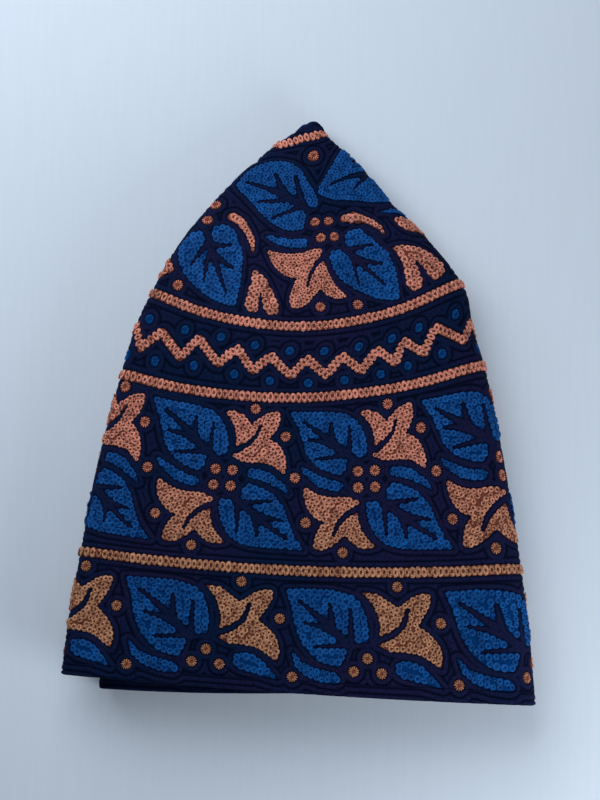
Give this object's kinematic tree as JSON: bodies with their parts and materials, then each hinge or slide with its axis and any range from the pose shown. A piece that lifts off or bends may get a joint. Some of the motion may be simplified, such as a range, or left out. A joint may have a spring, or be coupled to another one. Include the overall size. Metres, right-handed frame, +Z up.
{
  "type": "prayer cap",
  "caption": "Tall embroidered cloth prayer cap folded flat in quarters, with a round crown, a side wall that widens to an open brim and a turned hem.",
  "frame": {"origin": "middle of the folded cap's outline seen from above, on the surface it lies on", "axes": "+Z up, +Y from the open brim towards the point at the crown's centre, +X towards the wide outer fold"},
  "size_m": [0.1453, 0.1891, 0.023],
  "materials": {
    "crown_cloth": "navy cotton under blue and orange chain-stitch embroidery",
    "wall_cloth": "navy cotton under blue and orange chain-stitch embroidery",
    "hem_cloth": "navy cotton with rows of navy stitching"
  },
  "bodies": {
    "root": {"crown": "crown_cloth", "side_wall": "wall_cloth", "hem": "hem_cloth"}
  },
  "joints": []
}
